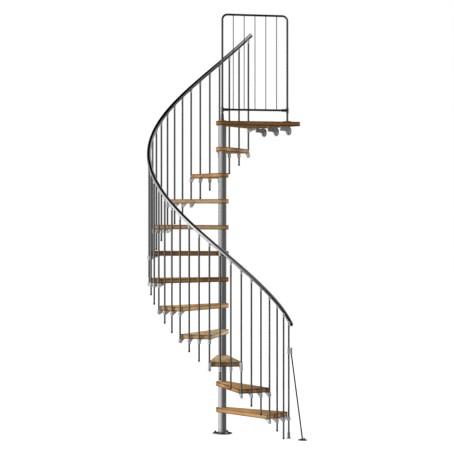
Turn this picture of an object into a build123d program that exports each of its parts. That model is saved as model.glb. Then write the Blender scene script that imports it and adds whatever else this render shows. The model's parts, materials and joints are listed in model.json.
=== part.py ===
from build123d import *
import os
from math import acos, atan, cos, degrees, pi, radians, sin

os.makedirs("parts", exist_ok=True)

# Stair layout: millimetres, +Z up, column axis on Z, finished floor at z = 0.
# Angles are seen from above, from +X; the flight climbs clockwise, so they fall with height.
riser = 225
tread_count = 11
tread_angle = 24
balusters_per_tread = 3
newel_angle = -27.7
baluster_circle_radius = 634
fit_clearance = 0.3

# Column: an inner pole, spacer tubes between the treads and a bolted base flange
pole_diameter = 42
pole_wall = 3
spacer_diameter = 70
spacer_wall = 3
flange_diameter = 172
flange_thickness = 6
flange_collar_height = 30
flange_collar_wall = 2.5
flange_weld = 7
flange_bolt_circle = 150
flange_bolt_hole = 11
flange_bolt_count = 4
flange_bolt_angle = -35
cap_thickness = 5

# Treads and landing
board_thickness = 38
board_edge_round = 3
board_corner_round = 6
hub_diameter = 110
tread_gap = 16
tread_overlap_angle = 1.2
landing_wall_angle = 31.5
landing_wall_distance = 653
landing_near_angle = 16
landing_far_angle = -3

# Balusters, newel and handrail
baluster_diameter = 16
baluster_drop = 32
rail_diameter = 36
rail_height = 1005
rail_overrun_low = 5
rail_overrun_high = 2.6
saddle_reach = 54
saddle_diameter = 24
saddle_neck_diameter = 18
saddle_neck_height = 10

# Baluster clamps under the treads; on one tread the corner rings run on up beside the board
clamp_diameter = 30
clamp_height = 36
sleeved_tread = 3
clamp_arm_reach = 60
clamp_arm_width = 9
clamp_arm_depth = 32
clamp_arm_tip_depth = 7
landing_clamp_reach = 84
landing_clamp_turn = -103

# Newel foot and raking brace
foot_diameter = 42
foot_thickness = 4
foot_sleeve_diameter = 23
foot_sleeve_height = 46
brace_diameter = 12
brace_angle = -45
brace_offset = 30
brace_reach = 158
brace_clamp_height = 742
brace_clamp_length = 54
brace_clamp_diameter = 24
brace_sleeve_diameter = 18
brace_clamp_web = 8
brace_bend_radius = 60
brace_foot_diameter = 78
brace_foot_thickness = 6
brace_bolt_circle = 54
brace_bolt_hole = 9
brace_bolt_angle = 58

# Guard panel over the landing
guard_angle = 13.9
guard_width = 584
guard_height = 921
guard_lower_height = 99
guard_tube_diameter = 18
guard_corner_radius = 45
guard_rod_diameter = 7
guard_rod_count = 5
guard_rod_socket = 4
guard_sleeve_diameter = 24
guard_sleeve_length = 46
guard_sleeve_reach = 50
guard_socket_height = 62
guard_socket_base_diameter = 30
guard_plate_diameter = 70
guard_plate_thickness = 5

# Wall brackets under the landing
bracket_count = 3
bracket_spacing = 197
bracket_first_offset = -213
bracket_face_distance = 573
bracket_disc_diameter = 74
bracket_disc_thickness = 10
bracket_disc_drop = 43
bracket_bolt_hole = 13
bracket_bolt_drop = 66
bracket_arm_length = 82
bracket_arm_height = 34
bracket_arm_width = 12
bracket_pad_height = 8
bracket_pad_length = 26
bracket_gusset_length = 40
bracket_gusset_drop = 54

tread_length = baluster_circle_radius - tread_gap
baluster_top = rail_height - saddle_reach
baluster_angle = tread_angle / balusters_per_tread
baluster_rise = riser / balusters_per_tread
baluster_last = tread_count * balusters_per_tread
landing_top = riser * (tread_count + 1)
landing_underside = landing_top - board_thickness
climb = baluster_rise / radians(baluster_angle)
rail_slope = degrees(atan(climb / baluster_circle_radius))


def polar(radius, angle):
    return Vector(radius * cos(radians(angle)), radius * sin(radians(angle)))


def turned_plane(angle, height=0, centre=(0, 0)):
    """Horizontal plane at a height, with its X axis turned to an angle."""
    return Plane(
        origin=(*centre, height),
        x_dir=(cos(radians(angle)), sin(radians(angle)), 0),
        z_dir=(0, 0, 1),
    )


def upright_plane(angle, centre=(0, 0), height=0):
    """Vertical plane whose X axis points out along an angle and whose Y axis points up."""
    return Plane(
        origin=(*centre, height),
        x_dir=(cos(radians(angle)), sin(radians(angle)), 0),
        z_dir=(sin(radians(angle)), -cos(radians(angle)), 0),
    )


def angle_of(baluster):
    return newel_angle - baluster_angle * baluster


def underside_of(tread):
    return riser * tread - board_thickness


def hub_tangent_angle(distance):
    """Angle at the column between a far corner and the point where its edge touches the hub."""
    return degrees(acos(hub_diameter / 2 / distance))


def round_board():
    """Ease the arrises of a board: first its upright corners, then both faces."""
    corners = [edge for edge in edges().filter_by(Axis.Z) if edge.center().length > hub_diameter]
    fillet(corners, board_corner_round)
    rims = faces().sort_by(Axis.Z)[0].outer_wire().edges() + faces().sort_by(Axis.Z)[-1].outer_wire().edges()
    fillet(rims, board_edge_round)


# Base flange: a bolted disc with a welded collar that centres the first spacer
collar_inner = spacer_diameter / 2 + fit_clearance
with BuildPart() as base_flange:
    with BuildSketch():
        Circle(flange_diameter / 2)
    extrude(amount=flange_thickness)
    with BuildSketch(Plane.XY.offset(flange_thickness)):
        Circle(collar_inner + flange_collar_wall)
        Circle(collar_inner, mode=Mode.SUBTRACT)
    extrude(amount=flange_collar_height)
    with BuildSketch(Plane.XZ):
        with BuildLine():
            weld_inner = collar_inner + flange_collar_wall
            Line((weld_inner, flange_thickness), (weld_inner + flange_weld, flange_thickness))
            Line((weld_inner + flange_weld, flange_thickness), (weld_inner, flange_thickness + flange_weld))
            Line((weld_inner, flange_thickness + flange_weld), (weld_inner, flange_thickness))
        make_face()
    revolve(axis=Axis.Z)
    with Locations(turned_plane(flange_bolt_angle, flange_thickness)):
        with PolarLocations(flange_bolt_circle / 2, flange_bolt_count):
            Hole(flange_bolt_hole / 2, depth=flange_thickness)
base_flange.part.label = "base_flange"
export_step(base_flange.part, "parts/base_flange.step")

# Inner pole, from the flange up to the cap
with BuildPart() as centre_pole:
    with BuildSketch(Plane.XY.offset(flange_thickness)):
        Circle(pole_diameter / 2)
        Circle(pole_diameter / 2 - pole_wall, mode=Mode.SUBTRACT)
    extrude(amount=landing_top - flange_thickness)
centre_pole.part.label = "centre_pole"
export_step(centre_pole.part, "parts/centre_pole.step")

# Spacer tubes: one under each tread and one under the landing
spacer_feet = [flange_thickness] + [riser * tread for tread in range(1, tread_count + 1)]
spacer_heads = [underside_of(tread) for tread in range(1, tread_count + 2)]
with BuildPart() as column_spacers:
    for foot, head in zip(spacer_feet, spacer_heads):
        with BuildSketch(Plane.XY.offset(foot)):
            Circle(spacer_diameter / 2)
            Circle(spacer_diameter / 2 - spacer_wall, mode=Mode.SUBTRACT)
        extrude(amount=head - foot)
column_spacers.part.label = "column_spacers"
export_step(column_spacers.part, "parts/column_spacers.step")

# Cap on the column, bored for the guard's inner post
with BuildPart() as column_cap:
    with BuildSketch(Plane.XY.offset(landing_top)):
        Circle(spacer_diameter / 2)
        Circle(guard_tube_diameter / 2 + fit_clearance, mode=Mode.SUBTRACT)
    extrude(amount=cap_thickness)
    fillet(edges().group_by(Axis.Z)[-1].sort_by(SortBy.LENGTH)[-1], cap_thickness / 4)
column_cap.part.label = "column_cap"
export_step(column_cap.part, "parts/column_cap.step")


# Winder treads: straight sides run tangent from a round hub to an arc at the outer edge
half_tread_angle = tread_angle / 2 + tread_overlap_angle
hub_touch_angle = half_tread_angle + hub_tangent_angle(tread_length)


def make_tread(number):
    centre_angle = angle_of(balusters_per_tread * (number - 0.5))
    with BuildPart() as tread:
        with BuildSketch(turned_plane(centre_angle, underside_of(number))):
            with BuildLine():
                touch_back = polar(hub_diameter / 2, hub_touch_angle)
                touch_front = polar(hub_diameter / 2, -hub_touch_angle)
                corner_back = polar(tread_length, half_tread_angle)
                corner_front = polar(tread_length, -half_tread_angle)
                ThreePointArc(touch_back, (-hub_diameter / 2, 0), touch_front)
                Line(touch_front, corner_front)
                ThreePointArc(corner_front, (tread_length, 0), corner_back)
                Line(corner_back, touch_back)
            make_face()
            Circle(pole_diameter / 2 + fit_clearance, mode=Mode.SUBTRACT)
        extrude(amount=board_thickness)
        round_board()
    tread.part.label = f"tread_{number:02d}"
    export_step(tread.part, f"parts/tread_{number:02d}.step")
    return tread.part


treads = [make_tread(number) for number in range(1, tread_count + 1)]

# Landing: the nosing follows on from the treads, the outer side is straight along the wall
nosing_corner_angle = angle_of(baluster_last) + tread_overlap_angle
nosing_touch_angle = nosing_corner_angle + hub_tangent_angle(tread_length)
near_touch = polar(hub_diameter / 2, landing_near_angle - 90)
nosing_corner = polar(tread_length, nosing_corner_angle)
wall_normal = polar(1, landing_wall_angle)
far_direction = polar(1, landing_far_angle)
far_length = (landing_wall_distance - nosing_corner.dot(wall_normal)) / far_direction.dot(wall_normal)
far_corner = nosing_corner + far_direction * far_length
wall_direction = polar(1, landing_wall_angle - 90)
near_direction = polar(1, landing_near_angle)
near_reach = (landing_wall_distance - near_touch.dot(wall_normal)) / near_direction.dot(wall_normal)
near_corner = near_touch + near_direction * near_reach
with BuildPart() as landing:
    with BuildSketch(Plane.XY.offset(landing_underside)):
        with BuildLine():
            nosing_touch = polar(hub_diameter / 2, nosing_touch_angle)
            hub_middle = polar(hub_diameter / 2, (nosing_touch_angle + landing_near_angle - 90) / 2)
            ThreePointArc(nosing_touch, hub_middle, near_touch)
            Line(near_touch, near_corner)
            Line(near_corner, far_corner)
            Line(far_corner, nosing_corner)
            Line(nosing_corner, nosing_touch)
        make_face()
        Circle(pole_diameter / 2 + fit_clearance, mode=Mode.SUBTRACT)
    extrude(amount=board_thickness)
    round_board()
landing.part.label = "landing"
export_step(landing.part, "parts/landing.step")


# Balusters: equal rods, each one step of the helix above the last; every third one ends at a tread
def make_balusters(tread):
    with BuildPart() as balusters:
        for number in range(balusters_per_tread * (tread - 1) + 1, balusters_per_tread * tread + 1):
            foot = baluster_rise * number - board_thickness - baluster_drop
            with BuildSketch(Plane.XY.offset(foot)):
                with Locations(polar(baluster_circle_radius, angle_of(number))):
                    Circle(baluster_diameter / 2)
            extrude(amount=baluster_top + baluster_rise * number - foot)
    balusters.part.label = f"balusters_{tread:02d}"
    export_step(balusters.part, f"parts/balusters_{tread:02d}.step")
    return balusters.part


balusters = [make_balusters(tread) for tread in range(1, tread_count + 1)]

# Newel: the first baluster, which stands on the floor in a flanged foot
newel_centre = polar(baluster_circle_radius, newel_angle)
with BuildPart() as newel_post:
    with BuildSketch(Plane.XY.offset(foot_thickness)):
        with Locations(newel_centre):
            Circle(baluster_diameter / 2)
    extrude(amount=baluster_top - foot_thickness)
newel_post.part.label = "newel_post"
export_step(newel_post.part, "parts/newel_post.step")

with BuildPart() as newel_foot:
    with BuildSketch():
        with Locations(newel_centre):
            Circle(foot_diameter / 2)
    extrude(amount=foot_thickness)
    with BuildSketch(Plane.XY.offset(foot_thickness)):
        with Locations(newel_centre):
            Circle(foot_sleeve_diameter / 2)
            Circle(baluster_diameter / 2 + fit_clearance, mode=Mode.SUBTRACT)
    extrude(amount=foot_sleeve_height)
newel_foot.part.label = "newel_foot"
export_step(newel_foot.part, "parts/newel_foot.step")


def clamp_solid(number, underside, reach, turn, rise=0):
    """A ring round a baluster, rising past the board's underside, with a tapered arm in under the board."""
    centre = polar(baluster_circle_radius, angle_of(number))
    with BuildPart() as clamp:
        with BuildSketch(Plane.XY.offset(underside - clamp_height)):
            with Locations(centre):
                Circle(clamp_diameter / 2)
        extrude(amount=clamp_height + rise)
        with BuildSketch(upright_plane(angle_of(number) + turn, (centre.X, centre.Y), underside)):
            with BuildLine():
                Polyline(
                    (0, 0), (reach, 0), (reach, -clamp_arm_tip_depth),
                    (clamp_diameter / 2, -clamp_arm_depth), (0, -clamp_arm_depth), close=True,
                )
            make_face()
        extrude(amount=clamp_arm_width / 2, both=True)
        with BuildSketch(Plane.XY.offset(underside - clamp_height)):
            with Locations(centre):
                Circle(baluster_diameter / 2 + fit_clearance)
        extrude(amount=clamp_height + rise, mode=Mode.SUBTRACT)
    return clamp.part


def make_clamps(tread):
    first = balusters_per_tread * (tread - 1)
    corners = (first, first + balusters_per_tread)
    with BuildPart() as clamps:
        for number in range(first, first + balusters_per_tread + 1):
            rise = board_thickness if tread == sleeved_tread and number in corners else 0
            add(clamp_solid(number, underside_of(tread), clamp_arm_reach, 180, rise))
    clamps.part.label = f"baluster_clamps_{tread:02d}"
    export_step(clamps.part, f"parts/baluster_clamps_{tread:02d}.step")
    return clamps.part


clamps = [make_clamps(tread) for tread in range(1, tread_count + 1)]

with BuildPart() as landing_clamp:
    add(clamp_solid(baluster_last, landing_underside, landing_clamp_reach, landing_clamp_turn))
landing_clamp.part.label = "landing_clamp"
export_step(landing_clamp.part, "parts/landing_clamp.step")

# Handrail: a round bar swept along a left-handed helix over the baluster tops
rail_start_angle = newel_angle + rail_overrun_low
rail_turn = rail_overrun_low + tread_angle * tread_count + rail_overrun_high
rail_start_height = rail_height - climb * radians(rail_overrun_low)
with BuildPart() as handrail:
    with BuildLine() as rail_path:
        rail_helix = Helix(
            pitch=2 * pi * climb, height=climb * radians(rail_turn), radius=baluster_circle_radius,
            center=(0, 0, rail_start_height), lefthand=True, mode=Mode.PRIVATE,
        )
        add(rail_helix.rotate(Axis.Z, rail_start_angle))
    with BuildSketch(Plane(origin=rail_path.line @ 0, z_dir=rail_path.line % 0)):
        Circle(rail_diameter / 2)
    sweep(is_frenet=True)
handrail.part.label = "handrail"
export_step(handrail.part, "parts/handrail.step")

# Rail saddles: a neck on each baluster that flares to cradle the underside of the rail
rail_clear_radius = rail_diameter / 2 + fit_clearance
saddle_top = rail_height - rail_diameter / 4
with BuildPart() as rail_saddle:
    with BuildSketch(Plane.XY.offset(baluster_top)):
        Circle(saddle_neck_diameter / 2)
    extrude(amount=saddle_neck_height)
    with BuildSketch(Plane.XY.offset(baluster_top + saddle_neck_height)):
        Circle(saddle_neck_diameter / 2)
    with BuildSketch(Plane.XY.offset(saddle_top)):
        Circle(saddle_diameter / 2)
    loft()
    rail_direction = (0, -cos(radians(rail_slope)), sin(radians(rail_slope)))
    with BuildSketch(Plane(origin=(0, 0, rail_height), z_dir=rail_direction)):
        Circle(rail_clear_radius)
    extrude(amount=2 * rail_diameter, both=True, mode=Mode.SUBTRACT)
    split(bisect_by=Plane(origin=(0, 0, rail_height - rail_diameter / 8)), keep=Keep.BOTTOM)
with BuildPart() as handrail_saddles:
    for number in range(baluster_last + 1):
        place = turned_plane(angle_of(number), baluster_rise * number)
        with Locations(place.location * Location((baluster_circle_radius, 0, 0))):
            add(rail_saddle.part)
handrail_saddles.part.label = "handrail_saddles"
export_step(handrail_saddles.part, "parts/handrail_saddles.step")

# Brace: a raking rod from a clamp on the newel down to its own bolted foot
newel_point = (newel_centre.X, newel_centre.Y)
brace_foot_centre = newel_centre + polar(brace_reach, brace_angle)
brace_clamp_low = brace_clamp_height - brace_clamp_length / 2
with BuildPart() as brace_rod:
    with BuildLine(upright_plane(brace_angle, newel_point)) as brace_path:
        FilletPolyline(
            (brace_offset, brace_clamp_low + brace_clamp_length),
            (brace_offset, brace_clamp_low),
            (brace_reach, 0),
            radius=brace_bend_radius,
        )
    with BuildSketch(Plane(origin=brace_path.line @ 0, z_dir=brace_path.line % 0)):
        Circle(brace_diameter / 2)
    sweep()
    split(bisect_by=Plane.XY.offset(brace_foot_thickness), keep=Keep.TOP)
brace_rod.part.label = "brace_rod"
export_step(brace_rod.part, "parts/brace_rod.step")

with BuildPart() as brace_clamp:
    with BuildSketch(turned_plane(brace_angle, brace_clamp_low, newel_point)):
        Circle(brace_clamp_diameter / 2)
        with Locations((brace_offset, 0)):
            Circle(brace_sleeve_diameter / 2)
        with Locations((brace_offset / 2, 0)):
            Rectangle(brace_offset, brace_clamp_web)
        Circle(baluster_diameter / 2 + fit_clearance, mode=Mode.SUBTRACT)
        with Locations((brace_offset, 0)):
            Circle(brace_diameter / 2 + fit_clearance, mode=Mode.SUBTRACT)
    extrude(amount=brace_clamp_length)
brace_clamp.part.label = "brace_clamp"
export_step(brace_clamp.part, "parts/brace_clamp.step")

with BuildPart() as brace_foot:
    foot_point = (brace_foot_centre.X, brace_foot_centre.Y)
    with BuildSketch(turned_plane(brace_bolt_angle, 0, foot_point)):
        Circle(brace_foot_diameter / 2)
        with PolarLocations(brace_bolt_circle / 2, 2):
            Circle(brace_bolt_hole / 2, mode=Mode.SUBTRACT)
    extrude(amount=brace_foot_thickness)
brace_foot.part.label = "brace_foot"
export_step(brace_foot.part, "parts/brace_foot.step")

# Guard panel: a bent tube from the column cap over to a post plate on the landing
guard_plane = upright_plane(guard_angle, height=landing_top)
guard_rod_pitch = guard_width / (guard_rod_count + 1)
guard_rod_places = [guard_rod_pitch * (number + 1) for number in range(guard_rod_count)]
guard_rod_foot = guard_lower_height + guard_tube_diameter / 2 - guard_rod_socket
guard_rod_head = guard_height - guard_tube_diameter / 2 + guard_rod_socket


def rod_cylinders(radius, cut=Mode.ADD):
    """Upright rods of the guard, set a little way into both rails."""
    with BuildSketch(turned_plane(guard_angle, landing_top + guard_rod_foot)) as rod_ends:
        with Locations(*[(place, 0) for place in guard_rod_places]):
            Circle(radius)
    extrude(rod_ends.sketch, amount=guard_rod_head - guard_rod_foot, mode=cut)


with BuildPart() as guard_frame:
    with BuildLine(guard_plane) as guard_path:
        FilletPolyline(
            (0, 0), (0, guard_height), (guard_width, guard_height), (guard_width, guard_plate_thickness),
            radius=guard_corner_radius,
        )
    with BuildSketch(turned_plane(guard_angle, landing_top)):
        Circle(guard_tube_diameter / 2)
    sweep()
    rod_cylinders(guard_rod_diameter / 2 + fit_clearance, Mode.SUBTRACT)
guard_frame.part.label = "guard_frame"
export_step(guard_frame.part, "parts/guard_frame.step")

with BuildPart() as guard_lower_rail:
    with BuildSketch(turned_plane(guard_angle, landing_top + guard_lower_height - guard_sleeve_length / 2)):
        with Locations((0, 0), (guard_width, 0)):
            Circle(guard_sleeve_diameter / 2)
    extrude(amount=guard_sleeve_length)
    with BuildLine(guard_plane):
        lower_line = Line((0, guard_lower_height), (guard_width, guard_lower_height))
    with BuildSketch(Plane(origin=lower_line @ 0, z_dir=lower_line % 0)):
        Circle(guard_tube_diameter / 2)
    extrude(amount=guard_width)
    for end, direction in ((lower_line @ 0, lower_line % 0), (lower_line @ 1, -(lower_line % 1))):
        with BuildSketch(Plane(origin=end, z_dir=direction)):
            Circle(guard_sleeve_diameter / 2)
        extrude(amount=guard_sleeve_reach)
    with BuildSketch(turned_plane(guard_angle, landing_top + guard_lower_height - guard_sleeve_length)):
        with Locations((0, 0), (guard_width, 0)):
            Circle(guard_tube_diameter / 2 + fit_clearance)
    extrude(amount=2 * guard_sleeve_length, mode=Mode.SUBTRACT)
    rod_cylinders(guard_rod_diameter / 2 + fit_clearance, Mode.SUBTRACT)
guard_lower_rail.part.label = "guard_lower_rail"
export_step(guard_lower_rail.part, "parts/guard_lower_rail.step")

with BuildPart() as guard_rods:
    rod_cylinders(guard_rod_diameter / 2)
guard_rods.part.label = "guard_rods"
export_step(guard_rods.part, "parts/guard_rods.step")

# Post feet: a tapered socket on the column cap and a round plate on the landing
with BuildPart() as guard_sockets:
    with BuildSketch(Plane.XY.offset(landing_top + cap_thickness)):
        Circle(guard_socket_base_diameter / 2)
    with BuildSketch(Plane.XY.offset(landing_top + cap_thickness + guard_socket_height)):
        Circle(guard_sleeve_diameter / 2)
    loft()
    with BuildSketch(Plane.XY.offset(landing_top + cap_thickness)):
        Circle(guard_tube_diameter / 2 + fit_clearance)
    extrude(amount=guard_socket_height, mode=Mode.SUBTRACT)
    with BuildSketch(turned_plane(guard_angle, landing_top)):
        with Locations((guard_width, 0)):
            Circle(guard_plate_diameter / 2)
    extrude(amount=guard_plate_thickness)
guard_sockets.part.label = "guard_sockets"
export_step(guard_sockets.part, "parts/guard_sockets.step")

# Wall brackets: an arm under the landing that ends in a round plate against the floor edge
bracket_arm_top = -bracket_pad_height
bracket_arm_low = bracket_arm_top - bracket_arm_height
disc_back = bracket_face_distance - bracket_disc_thickness
arm_start = disc_back - bracket_arm_length


def make_bracket(number):
    shift = polar(bracket_first_offset + bracket_spacing * number, landing_wall_angle - 90)
    centre = (shift.X, shift.Y)
    side = upright_plane(landing_wall_angle, centre, landing_underside)
    outward = (cos(radians(landing_wall_angle)), sin(radians(landing_wall_angle)), 0)
    back = polar(disc_back, landing_wall_angle) + shift
    disc_centre = (back.X, back.Y, landing_underside - bracket_disc_drop)
    disc_plane = Plane(origin=disc_centre, x_dir=(0, 0, 1), z_dir=outward)
    bolt_place = (bracket_disc_drop - bracket_bolt_drop, 0)
    with BuildPart() as bracket:
        with BuildSketch(side):
            with BuildLine():
                Polyline(
                    (arm_start, 0), (arm_start + bracket_pad_length, 0),
                    (arm_start + bracket_pad_length, bracket_arm_top),
                    (disc_back - bracket_pad_length / 2, bracket_arm_top),
                    (disc_back - bracket_pad_length / 2, 0), (disc_back, 0),
                    (disc_back, -bracket_gusset_drop), (disc_back - bracket_gusset_length, bracket_arm_low),
                    (arm_start, bracket_arm_low), close=True,
                )
            make_face()
        extrude(amount=bracket_arm_width / 2, both=True)
        with BuildSketch(disc_plane):
            Circle(bracket_disc_diameter / 2)
            with Locations(bolt_place):
                Circle(bracket_bolt_hole / 2, mode=Mode.SUBTRACT)
        extrude(amount=bracket_disc_thickness)
    bracket.part.label = f"wall_bracket_{number + 1}"
    export_step(bracket.part, f"parts/wall_bracket_{number + 1}.step")
    return bracket.part


wall_brackets = [make_bracket(number) for number in range(bracket_count)]
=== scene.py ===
import bpy, bmesh, json
from math import cos, pi, radians, sin
from mathutils import Matrix, Vector


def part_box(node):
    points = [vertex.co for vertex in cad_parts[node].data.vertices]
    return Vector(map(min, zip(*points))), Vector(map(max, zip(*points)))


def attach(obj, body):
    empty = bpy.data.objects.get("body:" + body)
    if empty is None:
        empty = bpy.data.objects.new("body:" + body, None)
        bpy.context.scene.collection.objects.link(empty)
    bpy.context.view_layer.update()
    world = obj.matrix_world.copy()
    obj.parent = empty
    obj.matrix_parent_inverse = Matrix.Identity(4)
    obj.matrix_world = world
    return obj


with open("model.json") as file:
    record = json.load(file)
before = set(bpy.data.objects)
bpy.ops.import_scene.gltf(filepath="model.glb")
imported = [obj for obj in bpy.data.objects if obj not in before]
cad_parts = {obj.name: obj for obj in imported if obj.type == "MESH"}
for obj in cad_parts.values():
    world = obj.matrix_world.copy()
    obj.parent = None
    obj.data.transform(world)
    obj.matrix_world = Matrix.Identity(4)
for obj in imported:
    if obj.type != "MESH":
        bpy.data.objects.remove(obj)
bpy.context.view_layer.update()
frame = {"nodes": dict(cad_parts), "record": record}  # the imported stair: nodes, bodies, record
print("frame loaded:", len(frame["nodes"]), "nodes")

# Layout of the stair, in metres and degrees, the same as the frame's
stair = {
    "riser": 0.225,
    "treads": 11,
    "treadAngle": 24,
    "perTread": 3,  # balusters that each tread adds
    "newelAngle": -27.7,
    "circle": 0.634,  # radius of the baluster circle
    "board": 0.038,
    "balusterTop": 0.951,  # above the baluster's own step
}
stepAngle = stair["treadAngle"] / stair["perTread"]
stepRise = stair["riser"] / stair["perTread"]
treadNumbers = range(1, stair["treads"] + 1)
lastBaluster = stair["treads"] * stair["perTread"]
landingTop = stair["riser"] * (stair["treads"] + 1)
landingUnder = landingTop - stair["board"]


def polar(radius, angle, height=0.0):
    return Vector((radius * cos(radians(angle)), radius * sin(radians(angle)), height))


def balusterAngle(number):
    return stair["newelAngle"] - stepAngle * number


def balusterAt(number, height):
    return polar(stair["circle"], balusterAngle(number), height)


def undersideOf(tread):
    return stair["riser"] * tread - stair["board"]


# Shader helpers
black = (0, 0, 0)
white = (1, 1, 1)


def newMaterial(name):
    material = bpy.data.materials.new(name)
    material.use_nodes = True
    nodes = material.node_tree.nodes
    shader = next(node for node in nodes if node.type == "BSDF_PRINCIPLED")
    return material, nodes, material.node_tree.links, shader


def newGroup(name, inputs, outputs):
    group = bpy.data.node_groups.new(name, "ShaderNodeTree")
    for label, kind, value in inputs:
        group.interface.new_socket(label, in_out="INPUT", socket_type=kind).default_value = value
    for label, kind in outputs:
        group.interface.new_socket(label, in_out="OUTPUT", socket_type=kind)
    return group, group.nodes.new("NodeGroupInput"), group.nodes.new("NodeGroupOutput")


def placeGroup(nodes, group, **values):
    node = nodes.new("ShaderNodeGroup")
    node.node_tree = group
    for label, value in values.items():
        node.inputs[label.replace("_", " ")].default_value = value
    return node


def mathNode(tree, operation, first, second=None, third=None):
    node = tree.nodes.new("ShaderNodeMath")
    node.operation = operation
    for index, value in enumerate((first, second, third)):
        if value is None:
            continue
        if isinstance(value, (int, float)):
            node.inputs[index].default_value = value
        else:
            tree.links.new(value, node.inputs[index])
    return node.outputs[0]


def rampNode(tree, factor, stops):
    node = tree.nodes.new("ShaderNodeValToRGB")
    ramp = node.color_ramp
    while len(ramp.elements) < len(stops):
        ramp.elements.new(0.5)
    for element, (place, colour) in zip(ramp.elements, stops):
        element.position = place
        element.color = (*colour, 1)
    tree.links.new(factor, node.inputs["Fac"])
    return node.outputs["Color"]


def mixColour(tree, blend, factor, first, second):
    node = tree.nodes.new("ShaderNodeMix")
    node.data_type = "RGBA"
    node.blend_type = blend
    for socket, value in ((node.inputs[0], factor), (node.inputs[6], first), (node.inputs[7], second)):
        if isinstance(value, (int, float)):
            socket.default_value = value
        elif isinstance(value, tuple):
            socket.default_value = (*value, 1)
        else:
            tree.links.new(value, socket)
    return node.outputs[2]


def bumpFrom(nodes, links, height, shader, strength, distance):
    bump = nodes.new("ShaderNodeBump")
    bump.inputs["Strength"].default_value = strength
    bump.inputs["Distance"].default_value = distance
    links.new(height, bump.inputs["Height"])
    links.new(bump.outputs["Normal"], shader.inputs["Normal"])


# Beech board: glued staves with finger joints, darker end grain, and a dark line of painted shade along the
# rounded edges
beech = {
    "seedStep": {"X": 0.173, "Y": 0.0117, "Z": 0.71},  # how far one seed moves the pattern
    "rowOffset": 0.37,
    "jointWidth": 0.0005,
    "jointSoftness": 0.3,
    "jointDepth": 0.6,
    "jointColour": (0.36, 0.26, 0.18),
    "staveStep": {"X": 9.0, "Z": 5.0},  # how far a stave's own value moves its grain
    "broad": {"scale": 6.0, "along": 0.8, "across": 3.5, "detail": 3.0, "distortion": 0.6},
    "fine": {"scale": 60.0, "along": 0.06, "across": 5.0, "detail": 4.0, "distortion": 0.0},
    "flecks": {"scale": 420.0, "along": 0.12, "across": 1.0, "detail": 1.0, "distortion": 0.0},
    "fleckStops": [(0.0, black), (0.62, black), (0.72, white)],
    "fleckDepth": 0.35,
    "fleckColour": (0.55, 0.42, 0.34),
    "fleckPit": -0.5,
    "lightness": -0.51,  # from dark to light, before the shares below
    "staveShare": 0.80,
    "broadShare": 1.30,
    "fineShare": 0.40,
    "hueStep": 57.0,
    "hueStops": [(0.0, (0.84, 0.92, 0.64)), (0.25, (0.97, 1, 0.9)), (0.6, white), (1.0, (1, 0.76, 0.62))],
    "endStops": [(0.0, black), (0.72, black), (0.90, white)],
    "endColour": (0.90, 0.82, 0.74),
    # painted shade along the rounded edges: its ramp, its colour, and the mask that keeps it on the sides
    "edgeShadeStops": [(0.0, white), (0.40, (0.75, 0.75, 0.75)), (1.0, black)],
    "edgeShadeColour": (0.20, 0.13, 0.075),
    "shadeSideStops": [(0.0, white), (0.80, white), (0.97, black)],  # the line stays off the flat faces
    "roughness": 0.40,
    "roughnessShare": 0.16,
}


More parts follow.
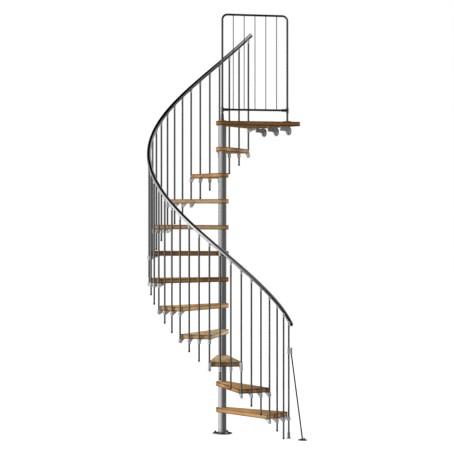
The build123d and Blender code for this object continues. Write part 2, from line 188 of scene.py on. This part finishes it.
def beechGroup():
    group, source, result = newGroup(
        "beechBoard",
        [
            ("Turn", "NodeSocketFloat", 0.0),
            ("Seed", "NodeSocketFloat", 0.0),
            ("Top", "NodeSocketFloat", 0.0),
            ("Thickness", "NodeSocketFloat", 0.038),
            # how strong and how wide the painted shade along the rounded edges is
            ("Edge Line", "NodeSocketFloat", 0.85),
            ("Edge Shade Width", "NodeSocketFloat", 0.012),
            ("End Grain", "NodeSocketFloat", 0.8),
            ("Tone", "NodeSocketFloat", 0.0),
            ("Stave Width", "NodeSocketFloat", 0.043),
            ("Stave Length", "NodeSocketFloat", 0.21),
            ("Light", "NodeSocketColor", (0.79, 0.485, 0.21, 1)),
            ("Dark", "NodeSocketColor", (0.36, 0.155, 0.042, 1)),
        ],
        [("Color", "NodeSocketColor"), ("Roughness", "NodeSocketFloat"), ("Height", "NodeSocketFloat")],
    )
    nodes, links = group.nodes, group.links
    where = nodes.new("ShaderNodeTexCoord")
    back = mathNode(group, "MULTIPLY", source.outputs["Turn"], -1.0)

    def turned(vector):
        turn = nodes.new("ShaderNodeVectorRotate")
        turn.rotation_type = "Z_AXIS"
        links.new(vector, turn.inputs["Vector"])
        links.new(back, turn.inputs["Angle"])
        return turn.outputs["Vector"]

    def parted(vector):
        parts = nodes.new("ShaderNodeSeparateXYZ")
        links.new(vector, parts.inputs["Vector"])
        return parts.outputs

    def moved(vector, value, steps):
        shift = nodes.new("ShaderNodeCombineXYZ")
        for axis, step in steps.items():
            links.new(mathNode(group, "MULTIPLY", value, step), shift.inputs[axis])
        total = nodes.new("ShaderNodeVectorMath")
        total.operation = "ADD"
        links.new(vector, total.inputs[0])
        links.new(shift.outputs["Vector"], total.inputs[1])
        return total.outputs["Vector"]

    # Staves: each has a value between 0 and 1 of its own
    board = moved(turned(where.outputs["Object"]), source.outputs["Seed"], beech["seedStep"])
    staves = nodes.new("ShaderNodeTexBrick")
    staves.offset = beech["rowOffset"]
    staves.offset_frequency = 2
    staves.squash = 1.0
    staves.inputs["Color1"].default_value = (*black, 1)
    staves.inputs["Color2"].default_value = (*white, 1)
    staves.inputs["Mortar"].default_value = (0.5, 0.5, 0.5, 1)
    staves.inputs["Scale"].default_value = 1.0
    staves.inputs["Mortar Size"].default_value = beech["jointWidth"]
    staves.inputs["Mortar Smooth"].default_value = beech["jointSoftness"]
    staves.inputs["Bias"].default_value = 0.0
    links.new(board, staves.inputs["Vector"])
    links.new(source.outputs["Stave Length"], staves.inputs["Brick Width"])
    links.new(source.outputs["Stave Width"], staves.inputs["Row Height"])
    tone = nodes.new("ShaderNodeSeparateColor")
    links.new(staves.outputs["Color"], tone.inputs["Color"])
    stave = tone.outputs[0]
    joints = staves.outputs["Fac"]

    # Grain, different on each stave
    perStave = moved(board, stave, beech["staveStep"])

    def grain(scale, along, across, detail, distortion):
        mapping = nodes.new("ShaderNodeMapping")
        mapping.inputs["Scale"].default_value = (along, across, across)
        links.new(perStave, mapping.inputs["Vector"])
        noise = nodes.new("ShaderNodeTexNoise")
        noise.inputs["Scale"].default_value = scale
        noise.inputs["Detail"].default_value = detail
        noise.inputs["Distortion"].default_value = distortion
        links.new(mapping.outputs["Vector"], noise.inputs["Vector"])
        return noise.outputs["Fac"]

    broad = grain(**beech["broad"])
    fine = grain(**beech["fine"])
    fleckMask = rampNode(group, grain(**beech["flecks"]), beech["fleckStops"])

    # Colour: between dark and light, tinted by stave, with flecks and joints
    amount = mathNode(group, "MULTIPLY_ADD", stave, beech["staveShare"], beech["lightness"])
    amount = mathNode(group, "MULTIPLY_ADD", broad, beech["broadShare"], amount)
    amount = mathNode(group, "MULTIPLY_ADD", fine, beech["fineShare"], amount)
    amount = mathNode(group, "ADD", amount, source.outputs["Tone"])
    amount = mathNode(group, "MINIMUM", mathNode(group, "MAXIMUM", amount, 0.0), 1.0)
    body = mixColour(group, "MIX", amount, source.outputs["Dark"], source.outputs["Light"])
    hue = nodes.new("ShaderNodeTexWhiteNoise")
    hue.noise_dimensions = "1D"
    hueSeed = mathNode(group, "MULTIPLY_ADD", stave, beech["hueStep"], source.outputs["Seed"])
    links.new(hueSeed, hue.inputs["W"])
    tint = rampNode(group, hue.outputs["Value"], beech["hueStops"])
    tinted = mixColour(group, "MULTIPLY", 1.0, body, tint)
    fleckAmount = mathNode(group, "MULTIPLY", fleckMask, beech["fleckDepth"])
    flecked = mixColour(group, "MULTIPLY", fleckAmount, tinted, beech["fleckColour"])
    jointAmount = mathNode(group, "MULTIPLY", joints, beech["jointDepth"])
    jointed = mixColour(group, "MULTIPLY", jointAmount, flecked, beech["jointColour"])

    # End grain, where a face looks along the staves
    facing = nodes.new("ShaderNodeNewGeometry")
    lengthwise = mathNode(group, "ABSOLUTE", parted(turned(facing.outputs["Normal"]))["X"])
    endGrain = rampNode(group, lengthwise, beech["endStops"])
    endAmount = mathNode(group, "MULTIPLY", endGrain, source.outputs["End Grain"])
    ended = mixColour(group, "MULTIPLY", endAmount, jointed, beech["endColour"])

    # Painted shade: a dark line along the top and bottom of the sides, standing in for the shade on the
    # rounded edges
    height = parted(where.outputs["Object"])["Z"]
    below = mathNode(group, "SUBTRACT", source.outputs["Top"], height)
    above = mathNode(group, "SUBTRACT", source.outputs["Thickness"], below)
    nearest = mathNode(group, "MINIMUM", below, above)
    toEdge = mathNode(group, "DIVIDE", nearest, source.outputs["Edge Shade Width"])
    line = rampNode(group, toEdge, beech["edgeShadeStops"])
    flat = mathNode(group, "ABSOLUTE", parted(facing.outputs["Normal"])["Z"])
    side = rampNode(group, flat, beech["shadeSideStops"])
    edge = mathNode(group, "MULTIPLY", mathNode(group, "MULTIPLY", line, side), source.outputs["Edge Line"])
    links.new(mixColour(group, "MULTIPLY", edge, ended, beech["edgeShadeColour"]), result.inputs["Color"])

    rough = mathNode(group, "MULTIPLY_ADD", fine, beech["roughnessShare"], beech["roughness"])
    links.new(rough, result.inputs["Roughness"])
    grainHeight = mathNode(group, "MULTIPLY_ADD", fleckMask, beech["fleckPit"], fine)
    links.new(mathNode(group, "SUBTRACT", grainHeight, joints), result.inputs["Height"])
    return group


# Drawn, brushed or cast metal: fine streaks, longer along one axis, and faint cloudy marks
satin = {"streakDetail": 3.0, "cloudDetail": 4.0, "roughnessShare": 0.8}


def metalGroup():
    group, source, result = newGroup(
        "satinMetal",
        [
            ("Base", "NodeSocketColor", (0.5, 0.5, 0.5, 1)),
            ("Streaks", "NodeSocketVector", (600.0, 600.0, 6.0)),
            ("Streak Depth", "NodeSocketFloat", 0.12),
            ("Cloud Scale", "NodeSocketFloat", 9.0),
            ("Cloud Depth", "NodeSocketFloat", 0.10),
            ("Roughness", "NodeSocketFloat", 0.34),
        ],
        [("Color", "NodeSocketColor"), ("Roughness", "NodeSocketFloat"), ("Height", "NodeSocketFloat")],
    )
    nodes, links = group.nodes, group.links
    where = nodes.new("ShaderNodeTexCoord")
    mapping = nodes.new("ShaderNodeVectorMath")
    mapping.operation = "MULTIPLY"
    links.new(where.outputs["Object"], mapping.inputs[0])
    links.new(source.outputs["Streaks"], mapping.inputs[1])
    streaks = nodes.new("ShaderNodeTexNoise")
    streaks.inputs["Scale"].default_value = 1.0
    streaks.inputs["Detail"].default_value = satin["streakDetail"]
    links.new(mapping.outputs["Vector"], streaks.inputs["Vector"])
    clouds = nodes.new("ShaderNodeTexNoise")
    clouds.inputs["Detail"].default_value = satin["cloudDetail"]
    links.new(where.outputs["Object"], clouds.inputs["Vector"])
    links.new(source.outputs["Cloud Scale"], clouds.inputs["Scale"])

    def centred(noise, depth):
        offset = mathNode(group, "SUBTRACT", noise.outputs["Fac"], 0.5)
        return mathNode(group, "MULTIPLY", offset, source.outputs[depth])

    uneven = mathNode(group, "ADD", centred(streaks, "Streak Depth"), centred(clouds, "Cloud Depth"))
    brightness = mathNode(group, "ADD", uneven, 1.0)
    shade = nodes.new("ShaderNodeCombineColor")
    for channel in shade.inputs:
        links.new(brightness, channel)
    shaded = mixColour(group, "MULTIPLY", 1.0, source.outputs["Base"], shade.outputs["Color"])
    links.new(shaded, result.inputs["Color"])
    rough = mathNode(group, "MULTIPLY_ADD", uneven, satin["roughnessShare"], source.outputs["Roughness"])
    links.new(rough, result.inputs["Roughness"])
    links.new(streaks.outputs["Fac"], result.inputs["Height"])
    return group


beechBoard = beechGroup()
satinMetal = metalGroup()
lacquer = {
    "mirrorFade": 0.8,  # the satin metals mirror the wood only faintly
    "mirrorColour": (0.22, 0.215, 0.21),
    "specular": 0.2,
    "coat": 0.05,
    "coatRoughness": 0.35,
    "bump": 0.25,
    "bumpHeight": 0.0004,
}
metalBump = {"strength": 0.15, "distance": 0.0001}


def beechMaterial(name, turn, seed, top, **values):
    material, nodes, links, shader = newMaterial(name)
    wood = placeGroup(
        nodes, beechBoard, Turn=radians(turn), Seed=seed, Top=top, Thickness=stair["board"], **values)
    tree = material.node_tree
    rays = nodes.new("ShaderNodeLightPath")
    mirrored = mathNode(tree, "MULTIPLY", rays.outputs["Is Glossy Ray"], lacquer["mirrorFade"])
    colour = mixColour(tree, "MIX", mirrored, wood.outputs["Color"], lacquer["mirrorColour"])
    links.new(colour, shader.inputs["Base Color"])
    links.new(wood.outputs["Roughness"], shader.inputs["Roughness"])
    shader.inputs["Specular IOR Level"].default_value = lacquer["specular"]
    shader.inputs["Coat Weight"].default_value = lacquer["coat"]
    shader.inputs["Coat Roughness"].default_value = lacquer["coatRoughness"]
    bumpFrom(nodes, links, wood.outputs["Height"], shader, lacquer["bump"], lacquer["bumpHeight"])
    return material


def metalMaterial(name, base, roughness, metallic=1.0, **values):
    material, nodes, links, shader = newMaterial(name)
    metal = placeGroup(nodes, satinMetal, Base=(*base, 1), Roughness=roughness, **values)
    links.new(metal.outputs["Color"], shader.inputs["Base Color"])
    links.new(metal.outputs["Roughness"], shader.inputs["Roughness"])
    shader.inputs["Metallic"].default_value = metallic
    bumpFrom(nodes, links, metal.outputs["Height"], shader, **metalBump)
    return material


metals = {
    "column": dict(base=(0.495, 0.50, 0.505), roughness=0.28, Streaks=(260, 260, 3), Streak_Depth=0.10),
    "baluster": dict(base=(0.19, 0.19, 0.192), roughness=0.26, Streaks=(700, 700, 6), Streak_Depth=0.12),
    # painted light: a paler copy of the baluster metal for the balusters of treads 6 and 7
    "litPaleBaluster": dict(base=(0.27, 0.27, 0.275), roughness=0.30, Streaks=(700, 700, 6), Streak_Depth=0.12),
    "rod": dict(base=(0.05, 0.05, 0.05), roughness=0.28, Streaks=(700, 700, 6), Streak_Depth=0.12),
    "clamp": dict(base=(0.85, 0.88, 0.905), roughness=0.42, metallic=0.2,
                  Streaks=(400, 400, 400), Streak_Depth=0.16),
    "rail": dict(base=(0.66, 0.66, 0.665), roughness=0.12, Streaks=(120, 120, 160), Streak_Depth=0.08),
    "guard": dict(base=(0.17, 0.17, 0.172), roughness=0.26, Streaks=(500, 500, 8), Streak_Depth=0.12),
    "foot": dict(base=(0.26, 0.27, 0.28), roughness=0.40, metallic=0.7,
                 Streaks=(300, 300, 300), Streak_Depth=0.14),
    "bracket": dict(base=(0.68, 0.70, 0.72), roughness=0.40, metallic=0.7,
                    Streaks=(300, 300, 300), Streak_Depth=0.14),
    "bolt": dict(base=(0.07, 0.07, 0.07), roughness=0.38, metallic=0.7,
                 Streaks=(900, 900, 900), Streak_Depth=0.2),
    "screw": dict(base=(0.88, 0.91, 0.95), roughness=0.40, metallic=0.1,
                  Streaks=(900, 900, 900), Streak_Depth=0.12),
}
metalOf = {name: metalMaterial(name + "Metal", **values) for name, values in metals.items()}
plastic = dict(base=(0.035, 0.035, 0.038), roughness=0.45, metallic=0.0,
               Streaks=(500, 500, 500), Streak_Depth=0.3, Cloud_Depth=0.3)
capPlastic = metalMaterial("capPlastic", **plastic)


def dress(node, material):
    for slot in frame["nodes"][node].material_slots:
        slot.material = material


# The boards differ in tone, partly as beech varies and partly as painted light and shade: the darker copies
# on treads 6 and 7 and the landing are painted shade, the paler copies on treads 3, 4, 8 and 9 are painted
# light; the landing has longer staves
litPaleBeech = {"Light": (0.85, 0.56, 0.32, 1), "Dark": (0.38, 0.18, 0.065, 1)}
shadedDarkBeech = {"Light": (0.60, 0.34, 0.11, 1), "Dark": (0.26, 0.11, 0.028, 1)}
litSandyBeech = {"Light": (0.87, 0.63, 0.36, 1), "Dark": (0.36, 0.19, 0.06, 1)}
litCreamBeech = {"Light": (0.99, 0.74, 0.44, 1), "Dark": (0.50, 0.27, 0.10, 1)}
boards = {
    "tread_01": {"End_Grain": 0.2},
    "tread_02": {"Tone": -0.04, "Edge_Line": 1.0},
    "tread_03": {"Tone": 0.22, "Edge_Line": 1.0, **litSandyBeech},
    "tread_04": {"Tone": 0.52, "Edge_Line": 0.9, **litCreamBeech},
    "tread_05": {"Tone": 0.32, "Light": (0.88, 0.57, 0.28, 1)},
    "tread_06": {"Tone": -0.22, "Edge_Line": 1.0, **shadedDarkBeech},
    "tread_07": {"Tone": -0.22, "Edge_Line": 1.0, **shadedDarkBeech},
    "tread_08": {"Tone": 0.18, **litPaleBeech},
    "tread_09": {"Tone": 0.38, **litPaleBeech},
    "tread_10": {"Tone": 0.08, "Light": (0.82, 0.47, 0.21, 1)},
    "tread_11": {"Tone": 0.22},
    "landing": {"Edge_Line": 1.0, "Stave_Length": 0.34, **shadedDarkBeech},
}
landingGrain = {"turn": 16, "seed": 17}
for number in treadNumbers:
    tread = f"tread_{number:02d}"
    grainTurn = balusterAngle(stair["perTread"] * (number - 0.5))
    treadTop = stair["riser"] * number
    dress(tread, beechMaterial(f"beechTread{number:02d}", grainTurn, number, treadTop, **boards[tread]))
dress("landing", beechMaterial("beechLanding", top=landingTop, **landingGrain, **boards["landing"]))

# Painted light: the balusters of these treads get the paler copy of the baluster metal, standing in for the
# light on them
litPaleFlights = (6, 7)  # the treads whose balusters look paler
nodeMetals = {
    "column": ["base_flange", "centre_pole", "column_spacers", "column_cap"],
    "baluster": [f"balusters_{n:02d}" for n in treadNumbers if n not in litPaleFlights] + ["newel_post"],
    "litPaleBaluster": [f"balusters_{n:02d}" for n in litPaleFlights],
    "rod": ["guard_rods", "brace_rod"],
    "clamp": [f"baluster_clamps_{n:02d}" for n in treadNumbers] + ["landing_clamp", "handrail_saddles"],
    "rail": ["handrail"],
    "guard": ["guard_frame", "guard_lower_rail", "guard_sockets"],
    "foot": ["newel_foot", "brace_foot"],
    "bracket": ["brace_clamp", "wall_bracket_1", "wall_bracket_2", "wall_bracket_3"],
}
for metal, names in nodeMetals.items():
    for name in names:
        dress(name, metalOf[metal])
print("finishes on", sum(len(names) for names in nodeMetals.values()) + len(boards), "nodes")


# Fasteners and caps: turned solids, joined in one mesh for each kind, with profiles of (radius, height)
sidesOf = {"nut": 6, "screw": 16, "washer": 20, "cap": 24, "rail": 40}
nutShape = [(0, 0), (1, 0), (1, 0.84), (0.88, 1), (0, 1)]
socketShape = [(0, 0), (1, 0), (1, 0.55), (0.80, 1), (0.50, 1), (0.46, 0.45), (0, 0.45)]
sharpAngle = radians(35)


def turnedSolid(mesh, profile, base, axis=(0, 0, 1), sides=sidesOf["washer"], spin=0.0):
    place = Matrix.Translation(base) @ Vector(axis).to_track_quat("Z", "Y").to_matrix().to_4x4()
    rings = []
    for radius, height in profile:
        ring = []
        for index in range(sides if radius > 0 else 1):
            turn = spin + 2 * pi * index / sides
            ring.append(mesh.verts.new(place @ Vector((radius * cos(turn), radius * sin(turn), height))))
        rings.append(ring)
    for lower, upper in zip(rings, rings[1:]):
        for index in range(sides):
            after = (index + 1) % sides
            corners = [lower[index % len(lower)], lower[after % len(lower)],
                       upper[after % len(upper)], upper[index % len(upper)]]
            mesh.faces.new(list(dict.fromkeys(corners)))


def washerProfile(radius, height, lip=0.0004):
    return [(0, 0), (radius, 0), (radius, height - lip), (radius - lip, height), (0, height)]


def scaledProfile(shape, radius, height):
    return [(across * radius, up * height) for across, up in shape]


def nutProfile(flats, height):
    return scaledProfile(nutShape, flats / 3 ** 0.5, height)


def socketProfile(radius, height):
    return scaledProfile(socketShape, radius, height)


def finishPiece(name, mesh, material):
    bmesh.ops.recalc_face_normals(mesh, faces=mesh.faces)
    for face in mesh.faces:
        face.smooth = True
    for edge in mesh.edges:
        edge.smooth = edge.calc_face_angle(0) < sharpAngle
    data = bpy.data.meshes.new(name)
    mesh.to_mesh(data)
    mesh.free()
    data.materials.append(material)
    piece = bpy.data.objects.new(name, data)
    bpy.context.collection.objects.link(piece)
    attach(piece, "root")


# Anchors: a washer, a hex nut and a stud in each hole of the base flange and of the brace's foot plate
anchor = {
    "seat": 0.006,  # top of both plates
    "washerThickness": 0.0018,
    "studLip": 0.0008,
    "firstSpin": 0.4,  # each nut stands turned a little further than the last
    "spinStep": 0.7,
}
braceMiddle = [(low + high) / 2 for low, high in zip(*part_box("brace_foot"))]
anchorSets = {
    "flangeAnchors": dict(middle=(0, 0), circle=0.075, angles=(-35, 55, 145, 235),
                          flats=0.017, nut=0.008, washer=0.010, stud=0.005, standing=0.015),
    "braceAnchors": dict(middle=braceMiddle[:2], circle=0.027, angles=(58, 238),
                         flats=0.013, nut=0.0065, washer=0.008, stud=0.004, standing=0.012),
}


def makeAnchors(name, middle, circle, angles, flats, nut, washer, stud, standing):
    mesh = bmesh.new()
    lift = Vector((0, 0, anchor["washerThickness"]))
    for index, angle in enumerate(angles):
        foot = Vector((*middle, anchor["seat"])) + polar(circle, angle)
        spin = anchor["firstSpin"] + anchor["spinStep"] * index
        turnedSolid(mesh, washerProfile(washer, anchor["washerThickness"]), foot)
        turnedSolid(mesh, nutProfile(flats, nut), foot + lift, sides=sidesOf["nut"], spin=spin)
        turnedSolid(mesh, washerProfile(stud, standing, anchor["studLip"]), foot, sides=sidesOf["screw"])
    finishPiece(name, mesh, metalOf["bolt"])


for name, values in anchorSets.items():
    makeAnchors(name, **values)

# Plastic caps on the baluster feet; the ones inside a clamp ring are plugs
cap = {
    "sleeve": [(0, 0.013), (0.0084, 0.013), (0.0088, 0.0122), (0.0088, 0.0004),
               (0.0076, -0.0016), (0.004, -0.0026), (0, -0.0028)],
    "plug": [(0, 0.002), (0.0077, 0.002), (0.0077, -0.0012), (0.006, -0.0024), (0, -0.0026)],
    "footDrop": 0.070,
}
capMesh = bmesh.new()
for number in range(1, lastBaluster + 1):
    shape = "plug" if number % stair["perTread"] == 0 else "sleeve"
    foot = balusterAt(number, stepRise * number - cap["footDrop"])
    turnedSolid(capMesh, cap[shape], foot, sides=sidesOf["cap"])
finishPiece("balusterCaps", capMesh, capPlastic)

# Thin seals between each baluster and its saddle
sealMesh = bmesh.new()
sealShape = [(0, -0.0014), (0.0090, -0.0014), (0.0095, -0.0007),
             (0.0095, 0.0007), (0.0090, 0.0014), (0, 0.0014)]
for number in range(lastBaluster + 1):
    top = balusterAt(number, stepRise * number + stair["balusterTop"])
    turnedSolid(sealMesh, sealShape, top, sides=sidesOf["cap"])
finishPiece("saddleSeals", sealMesh, capPlastic)

# End caps on the handrail, square to its slope
rail = {
    "height": 1.005,
    "overrunLow": 5.0,
    "overrunHigh": 2.6,
    "climb": stepRise / radians(stepAngle),
    "cap": [(0, -0.003), (0.0178, -0.003), (0.0182, -0.001), (0.0182, 0.0008),
            (0.0170, 0.0024), (0.0120, 0.0034), (0, 0.0038)],
}
railMesh = bmesh.new()
lastTurn = stair["treads"] * stair["treadAngle"] + rail["overrunHigh"]
for past, way in ((-rail["overrunLow"], 1), (lastTurn, -1)):
    angle = stair["newelAngle"] - past
    end = polar(stair["circle"], angle, rail["height"] + rail["climb"] * radians(past))
    out = way * (polar(1, angle + 90) - Vector((0, 0, rail["climb"] / stair["circle"])))
    turnedSolid(railMesh, rail["cap"], end, axis=out, sides=sidesOf["rail"])
finishPiece("railEndCaps", railMesh, metalOf["rail"])

# Clamp screws: a set screw in each ring, and a screw up through each arm into the board
clampScrew = {
    "ringRadius": 0.0148,
    "ringDrop": 0.018,
    "setScrew": socketProfile(0.0036, 0.0022),
    "armScrew": socketProfile(0.0036, 0.0055),
    "treadArm": {"place": 0.047, "turn": 180, "drop": 0.0115},
    "landingArm": {"place": 0.070, "turn": -103, "drop": 0.0100},
}
screwMesh = bmesh.new()


def clampScrews(number, under, place, turn, drop):
    outward = polar(1, balusterAngle(number))
    ringAt = balusterAt(number, under - clampScrew["ringDrop"]) + clampScrew["ringRadius"] * outward
    turnedSolid(screwMesh, clampScrew["setScrew"], ringAt, axis=outward, sides=sidesOf["screw"])
    armAt = balusterAt(number, under - drop) + polar(place, balusterAngle(number) + turn)
    turnedSolid(screwMesh, clampScrew["armScrew"], armAt, axis=(0, 0, -1), sides=sidesOf["screw"])


for tread in treadNumbers:
    for number in range(stair["perTread"] * (tread - 1), stair["perTread"] * tread + 1):
        clampScrews(number, undersideOf(tread), **clampScrew["treadArm"])
clampScrews(lastBaluster, landingUnder, **clampScrew["landingArm"])
finishPiece("clampScrews", screwMesh, metalOf["bolt"])

# Wall bolts: a washer and a hex head on each bracket disc, where the record has its bore
wallBolt = {"washer": 0.013, "washerThickness": 0.0025, "flats": 0.018, "head": 0.0075}
boltMesh = bmesh.new()
for mount in frame["record"]["mounts"]:
    if mount["name"].startswith("wall_bolt"):
        inward = -Vector(mount["axis"])
        plate = mount["dims"]["length_mm"] / 1000
        seat = Vector(mount["pos_m"]) + inward * plate / 2
        washer = washerProfile(wallBolt["washer"], wallBolt["washerThickness"])
        head = nutProfile(wallBolt["flats"], wallBolt["head"])
        turnedSolid(boltMesh, washer, seat, axis=inward)
        seat += inward * wallBolt["washerThickness"]
        turnedSolid(boltMesh, head, seat, axis=inward, sides=sidesOf["nut"])
finishPiece("wallBolts", boltMesh, metalOf["screw"])

# Guard screws: three in the plate on the landing, one set screw in the column's socket
guard = {
    "post": Vector((0.5669, 0.1403, 0)),
    "plateTop": 0.005,
    "circle": 0.026,
    "angles": (40, 160, 280),
    "screw": socketProfile(0.0045, 0.0022),
    "socketScrew": socketProfile(0.0045, 0.003),
    "rayStart": Vector((0.004, -1, landingTop + 0.052)),  # a ray from here finds the set screw's place
    "rayAim": (0, 1, 0),
    "sink": 0.0005,
}
guardMesh = bmesh.new()
for angle in guard["angles"]:
    seat = guard["post"] + polar(guard["circle"], angle, landingTop + guard["plateTop"])
    turnedSolid(guardMesh, guard["screw"], seat, sides=sidesOf["screw"])
found, point, normal = frame["nodes"]["guard_sockets"].ray_cast(guard["rayStart"], guard["rayAim"])[:3]
if found:
    seat = point - guard["sink"] * normal
    turnedSolid(guardMesh, guard["socketScrew"], seat, axis=normal, sides=sidesOf["screw"])
finishPiece("guardScrews", guardMesh, metalOf["bolt"])
print("fasteners and caps made")

# Studio: pale floor, white backdrop, two soft lamps, and a soft surround that the metals reflect
studio = {
    "floorSize": 60.0,
    "floorColour": (0.3, 0.3, 0.3, 1),
    "floorRoughness": 0.9,
    "floorGlow": 0.9,
    "lampDistance": 8,
    "lamps": {  # azimuth from the camera's side, to the right; elevation; strength; softness in degrees
        "leftLamp": (-74, 30, 2.3, 35),
        "rightLamp": (93, 30, 1.95, 35),
    },
    "surround": {  # towards, power, strength
        "leftPanel": ((-0.89, -0.14, -0.43), 2.2, 1.35),
        "backPanel": ((0.62, 0.62, 0.48), 12.0, 0.8),
        "frontPanel": ((-0.30, -0.95, 0.10), 30.0, 0.35),
    },
    "base": 0.22,
    "baseFall": 1.6,  # the metals see less light from above and below than from level
    "fill": 0.10,  # what the boards get from all round, and more from the floor
    "floorFill": 0.35,
}


def fromCamera(azimuth, elevation):
    level = cos(radians(elevation))
    return Vector((level * sin(radians(azimuth)), -level * cos(radians(azimuth)), sin(radians(elevation))))


for lampName, (azimuth, elevation, strength, softness) in studio["lamps"].items():
    data = bpy.data.lights.new(lampName, "SUN")
    data.energy = strength
    data.angle = radians(softness)
    lamp = bpy.data.objects.new(lampName, data)
    bpy.context.collection.objects.link(lamp)
    lamp.location = studio["lampDistance"] * fromCamera(azimuth, elevation)
    lamp.rotation_euler = (-fromCamera(azimuth, elevation)).to_track_quat("-Z", "Y").to_euler()
    lamp.visible_glossy = False

world = bpy.data.worlds.new("studioWorld")
bpy.context.scene.world = world
world.use_nodes = True
world.cycles.sampling_method = "NONE"  # the surround differs by ray, so it is met only by bounced rays
worldTree = world.node_tree
toward = worldTree.nodes.new("ShaderNodeTexCoord").outputs["Generated"]
towardParts = worldTree.nodes.new("ShaderNodeSeparateXYZ")
worldTree.links.new(toward, towardParts.inputs["Vector"])
upward = towardParts.outputs["Z"]
steepness = mathNode(worldTree, "ABSOLUTE", upward)
evenness = mathNode(worldTree, "MULTIPLY_ADD", steepness, -studio["baseFall"], 1.0)
glow = mathNode(worldTree, "MULTIPLY", mathNode(worldTree, "MAXIMUM", evenness, 0.0), studio["base"])
for aim, power, strength in studio["surround"].values():
    facing = worldTree.nodes.new("ShaderNodeVectorMath")
    facing.operation = "DOT_PRODUCT"
    worldTree.links.new(toward, facing.inputs[0])
    facing.inputs[1].default_value = Vector(aim).normalized()
    lobe = mathNode(worldTree, "POWER", mathNode(worldTree, "MAXIMUM", facing.outputs["Value"], 0.0), power)
    glow = mathNode(worldTree, "MULTIPLY_ADD", lobe, strength, glow)
downward = mathNode(worldTree, "MAXIMUM", mathNode(worldTree, "MULTIPLY", upward, -1.0), 0.0)
fill = mathNode(worldTree, "MULTIPLY_ADD", downward, studio["floorFill"], studio["fill"])
rays = worldTree.nodes.new("ShaderNodeLightPath")
beyondFill = mathNode(worldTree, "SUBTRACT", glow, fill)
onMetal = mathNode(worldTree, "MULTIPLY", beyondFill, rays.outputs["Is Glossy Ray"])
surround = next(node for node in worldTree.nodes if node.type == "BACKGROUND")
surround.inputs["Color"].default_value = (*white, 1)
worldTree.links.new(mathNode(worldTree, "ADD", fill, onMetal), surround.inputs["Strength"])
backdrop = worldTree.nodes.new("ShaderNodeBackground")
backdrop.inputs["Color"].default_value = (*white, 1)
choose = worldTree.nodes.new("ShaderNodeMixShader")
worldTree.links.new(rays.outputs["Is Camera Ray"], choose.inputs["Fac"])
worldTree.links.new(surround.outputs["Background"], choose.inputs[1])
worldTree.links.new(backdrop.outputs["Background"], choose.inputs[2])
worldOut = next(node for node in worldTree.nodes if node.type == "OUTPUT_WORLD")
worldTree.links.new(choose.outputs["Shader"], worldOut.inputs["Surface"])

bpy.ops.mesh.primitive_plane_add(size=studio["floorSize"])
floor = bpy.context.object
floor.name = "floor"
floor.visible_glossy = False
floor.visible_diffuse = False
floorMaterial, floorNodes, floorLinks, floorShader = newMaterial("paleFloor")
floorShader.inputs["Base Color"].default_value = studio["floorColour"]
floorShader.inputs["Roughness"].default_value = studio["floorRoughness"]
floorShader.inputs["Specular IOR Level"].default_value = 0.0
floorShader.inputs["Emission Color"].default_value = (*white, 1)
seen = floorNodes.new("ShaderNodeLightPath").outputs["Is Camera Ray"]
floorGlow = mathNode(floorMaterial.node_tree, "MULTIPLY", seen, studio["floorGlow"])
floorLinks.new(floorGlow, floorShader.inputs["Emission Strength"])
floor.data.materials.append(floorMaterial)
bpy.context.scene.view_settings.view_transform = "Standard"

# Camera at the photo's angle: level, a long lens, the column a little left of the middle
view = {
    "imageSide": 454.0,
    "focalPixels": 1612.0,
    "distance": 13.93,
    "height": 1.974,
    "columnPixel": 222.36,
    "horizonPixel": 205.0,
    "sensor": 36.0,
    "clipEnd": 200,
}
cameraData = bpy.data.cameras.new("camera")
cameraData.sensor_width = view["sensor"]
cameraData.lens = view["focalPixels"] / view["imageSide"] * view["sensor"]
cameraData.shift_x = (view["imageSide"] / 2 - view["columnPixel"]) / view["imageSide"]
cameraData.shift_y = -(view["imageSide"] / 2 - view["horizonPixel"]) / view["imageSide"]
cameraData.clip_end = view["clipEnd"]
camera = bpy.data.objects.new("camera", cameraData)
bpy.context.collection.objects.link(camera)
camera.location = (0, -view["distance"], view["height"])
camera.rotation_euler = (radians(90), 0, 0)
bpy.context.scene.camera = camera
print("camera and lights set")
